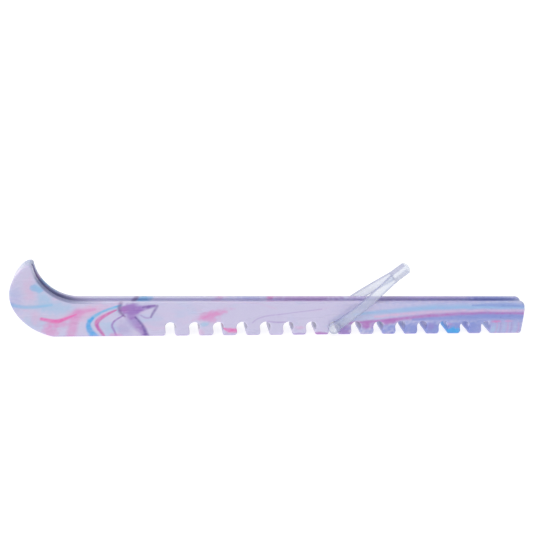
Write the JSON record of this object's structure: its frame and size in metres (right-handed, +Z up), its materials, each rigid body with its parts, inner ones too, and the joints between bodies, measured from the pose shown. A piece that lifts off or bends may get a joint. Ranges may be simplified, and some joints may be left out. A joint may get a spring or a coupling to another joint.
{
  "type": "skate blade guard",
  "caption": "Moulded channel that covers an ice skate's blade, with a toe cup, a notched sole and a clear loop strap hooked in one notch.",
  "frame": {"origin": "middle of the guard's length and width, at the level of the flat sole it stands on", "axes": "+X towards the heel end, -X towards the toe cup, +Y across the guard, +Z up out of the blade slot"},
  "size_m": [0.3316, 0.0188, 0.0471],
  "materials": {
    "marbled_plastic": "glossy moulded plastic, pale lilac marbled with blue, pink and violet",
    "clear_plastic": "water-clear flexible plastic, smooth"
  },
  "bodies": {
    "guard": {"guard_body": "marbled_plastic"},
    "strap": {"strap": "clear_plastic"}
  },
  "joints": [
    {"name": "strap_pivot", "type": "hinge", "parent": "guard", "child": "strap", "pos_m": [0.03475, 0, 0.0056], "axis": [0, -1, 0], "range_deg": [0, 98]}
  ]
}
